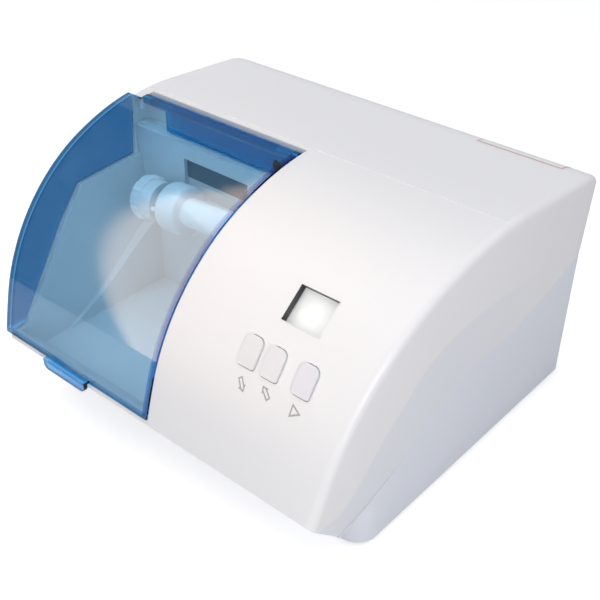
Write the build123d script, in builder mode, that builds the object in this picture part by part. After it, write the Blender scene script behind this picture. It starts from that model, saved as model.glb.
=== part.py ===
"""Bench-top dental amalgamator: a capsule mixer with a clear hinged lid over the shaking arm.

Millimetres, +Z up. The origin is under the middle of the whole machine, on the bench.
X runs across the machine (the mixing chamber is at -X, the key panel at +X), the front faces -Y.
Places along Y are given as distances behind a datum plane in front of the machine, through behind().
"""
from build123d import *
import os
from math import atan2, cos, degrees, radians, sin

# ---------------------------------------------------------------- outer form of the casing
frontmost = 1.0          # front of the lid's finger tab, behind the datum plane
rearmost = 232.5         # foot of the base's rear wall
case_half_width = 115.4  # at the reference point of the side walls
side_ref_y = 100.0
side_ref_z = 81.5
side_lean = 0.083        # side walls lean outwards with height
plan_flare = 0.028       # and spread towards the rear
lip_y = 4.4              # lower front edge of the curved front
lip_z = 43.8
chin_angle = 75.0        # slope of the front at the lip
chin_radius = 388.0
chin_sweep = 3.7
front_radius = 114.6
front_sweep = 48.9
crown_radius = 155.3
crown_sweep = 26.3
rear_crown_radius = 34.0
rear_y = 229.0           # rear wall of the upper case at the parting line
rear_ref_z = 73.5
rear_lean = 0.08
rear_corner_radius = 22.0
side_edge_radius = 4.0
wall = 2.6               # moulded wall of both casings

# crease on each side wall, as (y, z): below it the wall steps in, less and less towards the rear
crease_points = [(24.0, 40.0), (34.0, 48.0), (49.0, 68.0), (62.0, 81.0), (74.0, 93.5), (88.0, 101.0),
                 (106.5, 104.5), (126.0, 106.0), (150.0, 104.5)]
crease_step = 1.0

# parting line between upper case and base, as (y, z)
seam_points = [(26.0, 22.5), (52.0, 31.5), (77.0, 46.0), (97.0, 60.0), (113.0, 68.8), (137.0, 71.0),
               (165.0, 77.0), (205.0, 92.5)]
seam_end_y = 250.0
seam_gap = 0.6           # shadow gap along the parting line

# ---------------------------------------------------------------- chamber and lid
divider_x = 3.3          # right-hand edge of the lid, where the key panel starts
lid_wall = 2.2
lid_proud = 0.8          # the lid stands this far out of the case's curve
lid_gap = 0.5
lid_rear_y = 119.0       # hinge axis
hinge_depth = 3.4        # hinge axis below the lid's outer face
barrel_radius = 3.2
hinge_pin_radius = 1.25
hinge_pin_length = 7.4
running_clearance = 0.05
flange_thickness = 2.0
flange_depth = 14.0
cheek_x = 3.9 - case_half_width   # left of this the roof reaches forward to hold the hinge pin
flange_x = (cheek_x + 17.5, divider_x - 3.3)
case_edge_y = 124.2      # front edge of the case's roof behind the lid
gutter_clearance = 1.2   # round the flange and behind the roof's edge
cheek_y = 115.5
notch_y = 114.5          # the lid's corner ends here in front of the cheek
return_depth = 8.0       # inner walls along the lid opening, below the case's skin
chamber_rear_y = 113.5
chamber_floor_z = 32.0
tub_wall = 2.4
back_slot_x = (-77.5, -29.0)
back_slot_z = (99.5, 121.0)
arm_hole_radius = 12.0
tub_inset = 3.0          # tub's outer faces inside the case's outer faces
sill_points = [(16.0, 46.5), (51.6, 93.0), (68.0, 110.3), (110.4, 112.5), (115.5, 141.0)]
sill_front_z = 45.5
tab_x = -57.0
tab_width = 33.0
tab_drop = 3.2           # below the lid's front edge
tab_thickness = 2.4
tab_corner_radius = 3.0

# ---------------------------------------------------------------- panel
window_x = 70.2
window_y = 48.1
window_z = 120.6
window_angle = 38.8
window_width = 22.5
window_height = 19.2
lens_thickness = 1.6
liner_depth = 4.9        # lens below the panel
liner_wall = 0.4
liner_flange = 2.5
key_y = 28.5
key_z = 100.3
key_positions = {"down_button": 52.7, "up_button": 66.4, "start_button": 84.9}
key_width = 10.0
key_height = 15.0
key_top_radius = 3.8
key_foot_radius = 1.4
key_proud = 1.3
key_gap = 0.3
key_travel = 0.8
board_depth = 15.0       # board's face below the panel
board_thickness = 1.6
board_margin = 9.5       # board's edges inside the panel's left edge and the side wall
board_width = case_half_width - divider_x - 2 * board_margin
board_length = 60.0
board_x = (case_half_width + divider_x) / 2
panel_angle = degrees(atan2(window_z - key_z, window_y - key_y))  # slope of the board

# ---------------------------------------------------------------- shaking arm and motor
pivot_x = 17.0
pivot_y = 97.0
pivot_z = 107.5
arm_tilt = 4.7           # capsule end hangs this far below level at rest
sleeve_radius = 8.2
bulb_radius = 14.0
bulb_length = 15.0
bulb_start = 74.0        # from the pivot towards the capsule
capsule_bore = 6.2
bulb_bore_depth = 9.0
jaw_bore_depth = 12.0
jaw_gap = 6.0
jaw_neck_radius = 11.5
jaw_neck_length = 8.0
knob_radius = 13.0
knob_length = 7.0
flute_radius = 2.0
flute_count = 10
guide_radius = 1.5
guide_ring = 8.8         # guide rods' distance from the arm's axis
guide_length = 14.0       # depth of their holes in the bulb
guide_end_gap = 0.5
boss_radius = 9.0
boss_length = 18.0
bush_radius = 5.0
bush_flange_radius = 6.5
bush_length = 7.0
pivot_pin_radius = 3.0
yoke_offset = 26.0       # from the pivot to the eccentric
crank_offset = 2.13
bearing_outer = 8.5
bearing_inner = 5.5
bearing_width = 4.0
yoke_half_gap = 13.2
yoke_wall = 3.0
yoke_depth = 8.0
yoke_web = (9.0, 13.0)   # from the pivot, away from the capsule
shaft_radius = 2.5
motor_radius = 27.0
motor_length = 62.0
motor_cap_length = 9.0
motor_boss_radius = 9.0
bracket_y = 110.0        # front face of the bracket plate
bracket_sheet = 2.5
bracket_foot_z = 14.0
bracket_foot_length = 62.0
bracket_width = 70.0
bracket_top_z = 137.0
motor_screw_ring = 17.0
rocker_pin_radius = 1.2
damper_radius = 6.0
damper_places = [(18.0, 122.0), (68.0, 122.0), (18.0, 162.0), (68.0, 162.0)]

# ---------------------------------------------------------------- base
base_front_y = 41.0
base_half_width = case_half_width - 6.0
base_side_draft = 0.017  # front of its side walls leans in with height
base_flare = 0.004       # foot of the side walls spreads this much towards the rear
base_side_twist = 0.0006  # and more with every millimetre of height
base_front_radius = 12.0
base_rear_radius = 5.0
base_rear_rounding = 0.1  # rear corners grow rounder with height
base_bottom_z = 1.5      # clearance under the base
floor_thickness = 2.6
rim_depth = 2.4          # ledge under the upper case, out to its walls
rim_front_y = 27.0
foot_radius = 8.0
foot_height = 3.0
front_foot_x = base_half_width - 17.4
rear_foot_x = base_half_width - 27.4
foot_places = [(-front_foot_x, 57.0), (front_foot_x, 57.0), (-rear_foot_x, 216.0), (rear_foot_x, 216.0)]
post_x = base_half_width - 9.4
post_places = [(post_x, 92.0), (post_x, 205.0), (-post_x, 205.0), (-post_x, 128.0)]
post_radius = 4.5
column_radius = 6.0
column_bore = 3.8
screw_radius = 1.5
screw_head_radius = 3.0
screw_head_height = 2.0
screw_reach = 10.0       # into the piece it holds
column_roof = 6.0        # left between a column's bore and the parting line
tub_post_places = [(-70.0, 53.0), (-22.0, 53.0), (25.4 - base_half_width, 100.0), (-22.0, 100.0)]
tub_step_x = 4.4 - base_half_width   # the tub steps in here, beside the base's wall
tub_step_z = 3.0         # up to this far above the parting line
tub_post_z = 18.0        # where the tub's legs stand on the base's posts
board_post_places = [(-14.0, 186.0), (78.0, 186.0), (-14.0, 210.0), (78.0, 210.0)]
recess_y = 226.5         # vertical floor of the socket recess in the rear wall
recess_x = (-86.0, 26.0)
recess_z = (16.0, 52.0)
inlet_x = -62.0
rocker_x = -25.0
fuse_x = 6.0
recess_mid_z = 34.0
transformer_x = (25.4 - base_half_width, 81.4 - base_half_width)
transformer_y = (140.0, 184.0)
transformer_top_z = 52.0
board_post_z = 12.0
power_board_x = (-20.0, 84.0)
power_board_y = (180.0, 216.0)

groove_y = 127.5         # fine line across the roof
groove_radius = 0.3
post_hole_top = 112.0

middle = (frontmost + rearmost) / 2
far = 300.0


def behind(distance):
    """Y of a point given as its distance behind the datum plane."""
    return distance - middle


def half_width(distance, height, inset=0.0):
    """Half width of the casing's side walls at a place."""
    spread = plan_flare * (distance - side_ref_y) + side_lean * (height - side_ref_z)
    return case_half_width + spread - inset


def rear_wall(height, inset=0.0):
    """Distance of the casing's rear wall behind the datum plane."""
    return rear_y - rear_lean * (height - rear_ref_z) - inset


def surface_height(distance):
    """Height of the crown's outer face at a place behind the front arc."""
    angle = radians(chin_angle)
    y, z = lip_y, lip_z
    for radius, sweep in ((chin_radius, chin_sweep), (front_radius, front_sweep),
                          (crown_radius, crown_sweep)):
        centre_y, centre_z = y + radius * sin(angle), z - radius * cos(angle)
        angle -= radians(sweep)
        y, z = centre_y - radius * sin(angle), centre_z + radius * cos(angle)
    return centre_z + (crown_radius ** 2 - (distance - centre_y) ** 2) ** 0.5


def front_curve():
    """The three tangent arcs of the front and crown, inside an open BuildLine."""
    slope = (cos(radians(chin_angle)), sin(radians(chin_angle)))
    chin = JernArc((behind(lip_y), lip_z), slope, chin_radius, -chin_sweep)
    front = JernArc(chin @ 1, chin % 1, front_radius, -front_sweep)
    return JernArc(front @ 1, front % 1, crown_radius, -crown_sweep)


def casing_form(inset, edge_radius=0.0):
    """Solid of the casing's outer shape, all its faces moved inwards by inset."""
    clearance = 0.6      # the profile runs just outside the rounded rear wall
    with BuildPart() as profile:
        with BuildSketch(Plane.YZ):
            with BuildLine():
                crown = front_curve()
                end, direction = crown @ 1, crown % 1
                fall = direction.Y / direction.X
                foot = behind(rear_wall(0) + clearance)
                top_z = (end.Y + fall * (foot - end.X)) / (1 + fall * rear_lean)
                FilletPolyline(end, (foot - rear_lean * top_z, top_z), (foot, 0),
                               radius=rear_crown_radius)
                Polyline((foot, 0), (behind(lip_y), 0), (behind(lip_y), lip_z))
            make_face()
            if inset:
                offset(amount=-inset, kind=Kind.INTERSECTION, mode=Mode.REPLACE)
        extrude(amount=far, both=True)
    with BuildPart() as walls:
        for height in (-10.0, 170.0):
            rear = rear_wall(height, inset)
            ahead = -20.0
            with BuildSketch(Plane.XY.offset(height)) as plan:
                with BuildLine():
                    Polyline((-half_width(ahead, height, inset), behind(ahead)),
                             (half_width(ahead, height, inset), behind(ahead)),
                             (half_width(rear, height, inset), behind(rear)),
                             (-half_width(rear, height, inset), behind(rear)), close=True)
                make_face()
                fillet(plan.vertices().group_by(Axis.Y)[-1], rear_corner_radius - inset)
        loft(ruled=True)
    with BuildPart() as form:
        add(profile.part)
        add(walls.part, mode=Mode.INTERSECT)
        if edge_radius:
            sides = form.edges().filter_by(
                lambda e: e.center().Z > lip_z and abs(e.center().X) > case_half_width * 0.8
                and e.center().Y < behind(rear_y - rear_crown_radius))
            fillet(sides, edge_radius)
    return form.part


def flank_recess():
    """What the side walls lose below the crease: a wedge on each side that thins out to the rear."""
    (start_y, start_z), (end_y, end_z) = crease_points[0], crease_points[-1]

    def flank(distance, height):
        return half_width(distance, height) - crease_step * (end_y - distance) / (end_y - start_y)

    with BuildPart() as wedge:
        for height in (-10.0, 170.0):
            with BuildSketch(Plane.XY.offset(height)):
                with BuildLine():
                    Polyline((flank(-20.0, height), behind(-20.0)), (flank(end_y, height), behind(end_y)),
                             (far, behind(end_y)), (far, behind(-20.0)), close=True)
                make_face()
        loft(ruled=True)
        with BuildPart(mode=Mode.PRIVATE) as below_crease:
            with BuildSketch(Plane.YZ):
                with BuildLine():
                    Spline(*[(behind(y), z) for y, z in crease_points])
                    Polyline((behind(end_y), end_z), (behind(end_y), -10.0), (behind(start_y), -10.0),
                             (behind(start_y), start_z))
                make_face()
            extrude(amount=far)
        add(below_crease.part, mode=Mode.INTERSECT)
        mirror(about=Plane.YZ)
    return wedge.part


def side_block(points, x_low, x_high):
    """Prism along X of a (y, z) outline given as distances behind the datum plane."""
    with BuildPart() as prism:
        with BuildSketch(Plane.YZ.offset(x_low)):
            with BuildLine():
                Polyline(*[(behind(y), z) for y, z in points], close=True)
            make_face()
        extrude(amount=x_high - x_low)
    return prism.part


def box_between(low, high):
    """Box from its low to its high corner, Y as distances behind the datum plane."""
    size = [high[i] - low[i] for i in range(3)]
    centre = ((low[0] + high[0]) / 2, behind((low[1] + high[1]) / 2), (low[2] + high[2]) / 2)
    with BuildPart() as block:
        with Locations(centre):
            Box(*size)
    return block.part


def rod(radius, length, plane):
    """Cylinder that starts at the plane's origin and runs along its normal."""
    with BuildPart() as cylinder:
        with BuildSketch(plane):
            Circle(radius)
        extrude(amount=length)
    return cylinder.part


def below_seam(drop=0.0):
    """All that lies under the parting line and the lip's slanting underside, lowered by drop."""
    (y0, z0), (y1, z1) = seam_points[-2], seam_points[-1]
    end_z = z1 + (seam_end_y - y1) * (z1 - z0) / (y1 - y0)
    line = [(behind(y), z - drop) for y, z in seam_points + [(seam_end_y, end_z)]]
    with BuildPart() as prism:
        with BuildSketch(Plane.YZ):
            with BuildLine():
                Spline(*line)
                Polyline(line[-1], (line[-1][0], -far), (-far, -far), (-far, lip_z - drop),
                         (behind(lip_y), lip_z - drop), line[0])
            make_face()
        extrude(amount=far, both=True)
    return prism.part


def ahead_of_chin(depth):
    """All that lies in front of the slanting underside of the lip, moved inwards by depth."""
    run, fall = seam_points[0][0] - lip_y, seam_points[0][1] - lip_z
    length = (run ** 2 + fall ** 2) ** 0.5
    shift_y, shift_z = -fall / length * depth, run / length * depth
    start = (lip_y - 2 * run + shift_y, lip_z - 2 * fall + shift_z)
    end = (seam_points[0][0] + 2 * run + shift_y, seam_points[0][1] + 2 * fall + shift_z)
    return side_block([start, end, (start[0], end[1])], -far, far)


def across(distance, height):
    """Plane across the machine at a place, its normal along +X."""
    return Plane(origin=(0, behind(distance), height), x_dir=(0, 1, 0), z_dir=(1, 0, 0))


def sloping_plane(x, distance, height, angle, depth=0.0):
    """Plane on the front's slope, its normal out of the panel, sunk by depth."""
    normal = Vector(0, -sin(radians(angle)), cos(radians(angle)))
    origin = Vector(x, behind(distance), height) - normal * depth
    return Plane(origin=origin, x_dir=(1, 0, 0), z_dir=normal)


def export(solid, name):
    """Write a finished piece as its own STEP file."""
    solid.label = name
    export_step(solid, f"parts/{name}.step")


os.makedirs("parts", exist_ok=True)


# ================================================================ shared solids
outer_form = casing_form(0.0, side_edge_radius)
inner_form = casing_form(wall)
recess = flank_recess()
under_seam = below_seam()
under_base_seam = below_seam(seam_gap)
hinge_z = surface_height(lid_rear_y) + lid_proud - hinge_depth
hinge_plane = across(lid_rear_y, hinge_z)
tub_right_x = divider_x - tub_wall
back_top_z = hinge_z - flange_depth - 1.5
board_y = (key_y + window_y) / 2
board_z = (key_z + window_z) / 2
board_plane = sloping_plane(board_x, board_y, board_z, panel_angle, board_depth)
board_normal = board_plane.z_dir
arm_axis = Vector(-cos(radians(arm_tilt)), 0, -sin(radians(arm_tilt)))
pivot_point = Vector(pivot_x, behind(pivot_y), pivot_z)
shaft_x = pivot_x + yoke_offset * cos(radians(arm_tilt))


def arm_plane(distance):
    """Plane across the arm at a distance from its pivot, normal towards the capsule end."""
    return Plane(origin=pivot_point + arm_axis * distance, x_dir=(0, 1, 0), z_dir=arm_axis)


def shaft_plane(x, distance, height):
    """Plane whose normal runs to the rear, for pins and shafts along Y."""
    return Plane(origin=(x, behind(distance), height), x_dir=(1, 0, 0), z_dir=(0, 1, 0))


pin_left_x = cheek_x - wall
pin_right_x = divider_x + 0.3 + wall
pin_line = rod(hinge_pin_radius, pin_right_x - pin_left_x, hinge_plane.offset(pin_left_x))
arm_hole_plane = Plane(origin=pivot_point + arm_axis * ((pivot_x - divider_x) / cos(radians(arm_tilt))),
                       x_dir=(0, 1, 0), z_dir=(1, 0, 0))
window_plane = sloping_plane(window_x, window_y, window_z, window_angle)
switch_x = -12.0
board_boss_radius = 3.5
board_screw_x = board_width / 2 - 5.0
board_screw_y = board_length / 2 - 4.0
board_screw_places = [(-board_screw_x, -board_screw_y), (board_screw_x, -board_screw_y),
                      (-board_screw_x, board_screw_y), (board_screw_x, board_screw_y)]
small_screw_radius = 1.1
small_screw_reach = 6.0

with BuildSketch() as key_outline:
    Rectangle(key_width, key_height)
    fillet(key_outline.vertices().group_by(Axis.Y)[-1], key_top_radius)
    fillet(key_outline.vertices().group_by(Axis.Y)[0], key_foot_radius)


def key_prism(x, growth, low=-board_depth, high=board_depth):
    """Tombstone outline of one key, extruded along the board's normal between two heights."""
    plane = sloping_plane(x, key_y, key_z, panel_angle)
    with BuildPart() as prism:
        with BuildSketch(plane.offset(low)):
            add(key_outline.sketch)
            if growth:
                offset(amount=growth, mode=Mode.REPLACE)
        extrude(amount=high - low)
    return prism.part


# ================================================================ upper case
sill = [(-30.0, sill_front_z)] + sill_points
chamber_cut = side_block(sill + [(cheek_y, far), (-30.0, far)], -far, divider_x)
roof_cut = box_between((cheek_x, cheek_y - 1, back_top_z), (divider_x, case_edge_y, far))

with BuildPart() as upper_case:
    add(outer_form)
    with BuildPart(mode=Mode.PRIVATE) as hollow:
        add(inner_form)
        add(ahead_of_chin(wall), mode=Mode.SUBTRACT)
    add(hollow.part, mode=Mode.SUBTRACT)
    # tall bosses that the base is screwed to
    with BuildPart(mode=Mode.PRIVATE) as posts:
        with BuildSketch():
            with Locations(*[(x, behind(y)) for x, y in post_places]):
                Circle(post_radius)
        extrude(amount=far)
        add(inner_form, mode=Mode.INTERSECT)
    add(posts.part)
    # inner walls at both ends of the hinge and along the panel's left edge
    with BuildPart(mode=Mode.PRIVATE) as return_walls:
        add(outer_form)
        add(casing_form(return_depth), mode=Mode.SUBTRACT)
        with BuildPart(mode=Mode.PRIVATE) as strips:
            add(box_between((divider_x + 0.3, -far, lip_z), (divider_x + 0.3 + wall, case_edge_y, far)))
            add(box_between((cheek_x - wall, cheek_y + 0.7, hinge_z - 6), (cheek_x, case_edge_y, far)))
        add(strips.part, mode=Mode.INTERSECT)
    add(return_walls.part)
    # wall and gutter behind the lid's flange, from one side to the divider, that hold the lid switch
    gutter_z = hinge_z - flange_depth - gutter_clearance
    return_y = case_edge_y + gutter_clearance
    with BuildPart(mode=Mode.PRIVATE) as rear_return:
        add(box_between((-far, return_y, gutter_z - wall), (divider_x + wall, return_y + wall, far)))
        add(box_between((-far, chamber_rear_y + tub_wall + 0.4, gutter_z - wall),
                        (divider_x + wall, return_y + wall, gutter_z)))
        add(inner_form, mode=Mode.INTERSECT)
    add(rear_return.part)
    add(recess, mode=Mode.SUBTRACT)
    add(under_seam, mode=Mode.SUBTRACT)
    add(chamber_cut, mode=Mode.SUBTRACT)
    add(roof_cut, mode=Mode.SUBTRACT)
    # display window and key holes
    with BuildSketch(window_plane):
        Rectangle(window_width, window_height)
    extrude(amount=wall * 2, both=True, mode=Mode.SUBTRACT)
    for key_x in key_positions.values():
        add(key_prism(key_x, key_gap), mode=Mode.SUBTRACT)
    # bosses for the control board
    with BuildPart(mode=Mode.PRIVATE) as board_bosses:
        with BuildSketch(board_plane):
            with Locations(*board_screw_places):
                Circle(board_boss_radius)
        extrude(amount=far / 6)
        add(inner_form, mode=Mode.INTERSECT)
    add(board_bosses.part)
    with BuildSketch(board_plane):
        with Locations(*board_screw_places):
            Circle(small_screw_radius)
    extrude(amount=small_screw_reach, mode=Mode.SUBTRACT)
    # fine groove across the roof behind the lid
    with BuildSketch(across(groove_y, surface_height(groove_y)).offset(-far)):
        Circle(groove_radius)
    extrude(amount=2 * far, mode=Mode.SUBTRACT)
    # holes for the hinge pins and the case screws
    add(pin_line, mode=Mode.SUBTRACT)
    with BuildSketch():
        with Locations(*[(x, behind(y)) for x, y in post_places]):
            Circle(screw_radius)
    extrude(amount=post_hole_top, mode=Mode.SUBTRACT)
export(upper_case.part, "upper_case")


# ================================================================ lower base
def footprint_form(inset, low, high):
    """Solid between two heights inside the base's leaning walls, moved inwards by inset."""
    with BuildPart() as form:
        for height in (low, high):
            front = base_front_y + inset
            rear = rearmost - rear_lean * (height - base_bottom_z) - inset
            front_half = base_half_width - base_side_draft * height - inset
            rear_half = front_half + (base_flare + base_side_twist * height) * (rear - front)
            with BuildSketch(Plane.XY.offset(height)) as plan:
                with BuildLine():
                    Polyline((-front_half, behind(front)), (front_half, behind(front)),
                             (rear_half, behind(rear)), (-rear_half, behind(rear)), close=True)
                make_face()
                fillet(plan.vertices().group_by(Axis.Y)[0], base_front_radius - inset)
                rear_radius = base_rear_radius + base_rear_rounding * height - inset
                fillet(plan.vertices().group_by(Axis.Y)[-1], rear_radius)
        loft(ruled=True)
    return form.part


def upright(places, radius, low, high):
    """Round posts between two heights at places on the floor plan."""
    with BuildPart() as posts:
        with BuildSketch(Plane.XY.offset(low)):
            with Locations(*[(x, behind(y)) for x, y in places]):
                Circle(radius)
        extrude(amount=high - low)
    return posts.part


def seam_height(distance):
    """Height of the parting line's chord at a place."""
    for (y0, z0), (y1, z1) in zip(seam_points, seam_points[1:]):
        if distance <= y1:
            break
    return z0 + (z1 - z0) * (distance - y0) / (y1 - y0)


floor_z = base_bottom_z + floor_thickness
with BuildPart() as lower_base:
    add(footprint_form(0.0, base_bottom_z, 130.0))
    add(under_base_seam, mode=Mode.INTERSECT)
    # ledge that closes the step out to the upper case's wall
    with BuildPart(mode=Mode.PRIVATE) as rim:
        add(casing_form(0.8))
        add(recess, mode=Mode.SUBTRACT)
        add(under_base_seam, mode=Mode.INTERSECT)
        add(below_seam(seam_gap + rim_depth), mode=Mode.SUBTRACT)
        add(box_between((-far, rim_front_y, -far), (far, far, far)), mode=Mode.INTERSECT)
    add(rim.part)
    add(footprint_form(wall, floor_z, 131.0), mode=Mode.SUBTRACT)
    # recess for the mains sockets and the switch
    add(box_between((recess_x[0] - wall, recess_y - wall, recess_z[0] - wall),
                    (recess_x[1] + wall, recess_y + wall, recess_z[1] + wall)))
    add(box_between((recess_x[0], recess_y, recess_z[0]), (recess_x[1], far, recess_z[1])),
        mode=Mode.SUBTRACT)
    # posts under the motor bracket, the tub, the power board and the upper case
    add(upright(tub_post_places, column_radius, floor_z, tub_post_z))
    add(upright(board_post_places, post_radius, floor_z, board_post_z))
    with BuildPart(mode=Mode.PRIVATE) as columns:
        add(upright(post_places, column_radius, floor_z, 120.0))
        add(under_seam, mode=Mode.INTERSECT)
    add(columns.part)
    for x, y in post_places:
        add(upright([(x, y)], column_bore, base_bottom_z, seam_height(y) - column_roof), mode=Mode.SUBTRACT)
    add(upright(tub_post_places, column_bore, base_bottom_z, tub_post_z - column_roof), mode=Mode.SUBTRACT)
    add(upright(post_places + tub_post_places, screw_radius, base_bottom_z, 120.0), mode=Mode.SUBTRACT)
    add(upright(board_post_places, screw_radius, floor_z, board_post_z), mode=Mode.SUBTRACT)
    add(upright(damper_places, screw_radius, base_bottom_z + 1, floor_z), mode=Mode.SUBTRACT)
    add(upright(foot_places, foot_radius, base_bottom_z, foot_height), mode=Mode.SUBTRACT)
    # cut-outs for the socket, the switch and the fuse
    add(box_between((inlet_x - 14.0, recess_y - 2 * wall, recess_mid_z - 10.5),
                    (inlet_x + 14.0, far, recess_mid_z + 10.5)), mode=Mode.SUBTRACT)
    add(box_between((rocker_x - 6.5, recess_y - 2 * wall, recess_mid_z - 9.5),
                    (rocker_x + 6.5, far, recess_mid_z + 9.5)), mode=Mode.SUBTRACT)
    add(rod(6.1, 4 * wall, shaft_plane(fuse_x, recess_y - 2 * wall, recess_mid_z)), mode=Mode.SUBTRACT)
    # cooling slots beside them
    for slot in range(6):
        add(box_between((46 + 9 * slot, 200, 24), (50 + 9 * slot, far, 50)), mode=Mode.SUBTRACT)
export(lower_base.part, "lower_base")


# ================================================================ chamber tub
def left_of(x, drop):
    """Space beside the tub that the base's side wall needs, up to the parting line."""
    with BuildPart() as space:
        add(below_seam(drop))
        add(box_between((-far, -far, -far), (x, far, far)), mode=Mode.INTERSECT)
    return space.part


with BuildPart() as chamber_tub:
    with BuildPart(mode=Mode.PRIVATE) as tub_space:
        add(casing_form(tub_inset))
        add(ahead_of_chin(tub_inset), mode=Mode.SUBTRACT)
        add(box_between((-far, -far, chamber_floor_z - tub_wall),
                        (divider_x, chamber_rear_y + tub_wall, far)), mode=Mode.INTERSECT)
        add(left_of(tub_step_x, -tub_step_z), mode=Mode.SUBTRACT)
    add(tub_space.part)
    with BuildPart(mode=Mode.PRIVATE) as tub_hollow:
        add(casing_form(tub_inset + tub_wall))
        add(ahead_of_chin(tub_inset + tub_wall), mode=Mode.SUBTRACT)
        add(box_between((-far, -far, chamber_floor_z), (tub_right_x, chamber_rear_y, far)),
            mode=Mode.INTERSECT)
        add(left_of(tub_step_x + tub_wall, -tub_step_z - tub_wall), mode=Mode.SUBTRACT)
    add(tub_hollow.part, mode=Mode.SUBTRACT)
    # open towards the lid, above the sill and above the rear wall's edge
    add(side_block(sill[:-2] + [(chamber_rear_y, sill[-2][1]), (chamber_rear_y, far), (-30.0, far)],
                   -far, tub_right_x), mode=Mode.SUBTRACT)
    add(box_between((-far, 60, back_top_z), (tub_right_x, far, far)), mode=Mode.SUBTRACT)
    # opening for the arm, with the ring its gaiter sits on
    add(rod(arm_hole_radius + 2.0, 4.0, arm_hole_plane.offset(-4.0 - (divider_x - tub_right_x))))
    add(rod(arm_hole_radius, 4 * tub_wall, arm_hole_plane.offset(-3 * tub_wall)), mode=Mode.SUBTRACT)
    # air slot in the rear wall
    add(box_between((back_slot_x[0], chamber_rear_y - 1, back_slot_z[0]),
                    (back_slot_x[1], chamber_rear_y + 2 * tub_wall, back_slot_z[1])), mode=Mode.SUBTRACT)
    # legs, and the pads that rest against the case's side wall
    add(upright(tub_post_places, post_radius, tub_post_z, chamber_floor_z - tub_wall / 2))
    for x, y in tub_post_places:
        add(upright([(x, y)], screw_radius, tub_post_z, tub_post_z + screw_reach), mode=Mode.SUBTRACT)
    with BuildPart(mode=Mode.PRIVATE) as pads:
        add(inner_form)
        add(casing_form(tub_inset + 1.0), mode=Mode.SUBTRACT)
        with BuildPart(mode=Mode.PRIVATE) as pad_places:
            add(box_between((-far, 70, 70), (-80, 82, 96)))
            add(box_between((-far, 98, 70), (-80, 110, 96)))
        add(pad_places.part, mode=Mode.INTERSECT)
    add(pads.part)
export(chamber_tub.part, "chamber_tub")

with BuildPart() as tub_baffle:
    add(box_between((back_slot_x[0] - 4, chamber_rear_y + tub_wall, back_slot_z[0] - 4),
                    (back_slot_x[1] + 4, chamber_rear_y + tub_wall + 5, back_slot_z[1] + 4)))
export(tub_baffle.part, "baffle_foam")


# ================================================================ lid
lid_right_x = divider_x - lid_gap
with BuildPart() as lid:
    add(casing_form(-lid_proud))
    add(casing_form(lid_wall - lid_proud), mode=Mode.SUBTRACT)
    lid_sill = [(y, z + lid_gap) for y, z in sill[:-2]]
    add(side_block(lid_sill + [(109.8, 113.0), (notch_y, 139.0), (notch_y, far), (-30.0, far)],
                   -far, lid_right_x), mode=Mode.INTERSECT)
    # skin behind the notch, up to the hinge
    with BuildPart(mode=Mode.PRIVATE) as hinge_skin:
        add(casing_form(-lid_proud))
        add(casing_form(lid_wall - lid_proud), mode=Mode.SUBTRACT)
        add(box_between((cheek_x + lid_gap, notch_y - 1, back_top_z), (lid_right_x, lid_rear_y, far)),
            mode=Mode.INTERSECT)
    add(hinge_skin.part)
    add(rod(barrel_radius, lid_right_x - cheek_x - lid_gap, hinge_plane.offset(cheek_x + lid_gap)))
    # rear flange that closes the chamber behind the skin
    add(box_between((flange_x[0], lid_rear_y - flange_thickness, hinge_z - flange_depth),
                    (flange_x[1], lid_rear_y, hinge_z)))
    # finger tab under the front edge
    with BuildSketch(Plane.XZ.offset(-behind(frontmost))) as tab_face:
        with Locations((tab_x, sill_front_z + (3.0 - tab_drop) / 2)):
            Rectangle(tab_width, tab_drop + 3.0)
        fillet(tab_face.vertices().group_by(Axis.Y)[0], tab_corner_radius)
    extrude(amount=-tab_thickness)
    add(box_between((tab_x - tab_width / 2, frontmost, sill_front_z + 1.3),
                    (tab_x + tab_width / 2, lip_y + 1.8, sill_front_z + 3)))
    for low_x, high_x in ((pin_left_x, pin_left_x + hinge_pin_length + 0.3),
                          (pin_right_x - hinge_pin_length - 0.3, pin_right_x)):
        add(rod(hinge_pin_radius + running_clearance, high_x - low_x, hinge_plane.offset(low_x)),
            mode=Mode.SUBTRACT)
export(lid.part, "lid")

with BuildPart() as hinge_pins:
    add(rod(hinge_pin_radius, hinge_pin_length, hinge_plane.offset(pin_left_x)))
    add(rod(hinge_pin_radius, hinge_pin_length, hinge_plane.offset(pin_right_x - hinge_pin_length)))
export(hinge_pins.part, "hinge_pins")

with BuildPart() as lid_magnet:
    add(rod(3.0, 1.5, shaft_plane(switch_x, lid_rear_y, hinge_z - flange_depth + 5)))
export(lid_magnet.part, "lid_magnet")

with BuildPart() as lid_switch:
    add(box_between((switch_x - 5, lid_rear_y + 2.4, hinge_z - flange_depth + 1),
                    (switch_x + 5, case_edge_y + gutter_clearance, hinge_z - flange_depth + 9)))
export(lid_switch.part, "lid_switch")


# ================================================================ panel: window, keys, control board
with BuildPart() as window_liner:
    with BuildSketch(window_plane.offset(-liner_depth)):
        Rectangle(window_width, window_height)
    extrude(amount=liner_depth - 0.6)
    with BuildSketch(window_plane.offset(-liner_depth)):
        Rectangle(window_width + 2 * liner_flange, window_height + 2 * liner_flange)
    extrude(amount=0.7)
    with BuildSketch(window_plane.offset(-liner_depth)):
        Rectangle(window_width - 2 * liner_wall, window_height - 2 * liner_wall)
    extrude(amount=liner_depth, mode=Mode.SUBTRACT)
export(window_liner.part, "window_liner")

with BuildPart() as display_window:
    with BuildSketch(window_plane.offset(-liner_depth - lens_thickness)):
        Rectangle(window_width + 2 * liner_flange, window_height + 2 * liner_flange)
    extrude(amount=lens_thickness)
export(display_window.part, "display_window")

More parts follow.
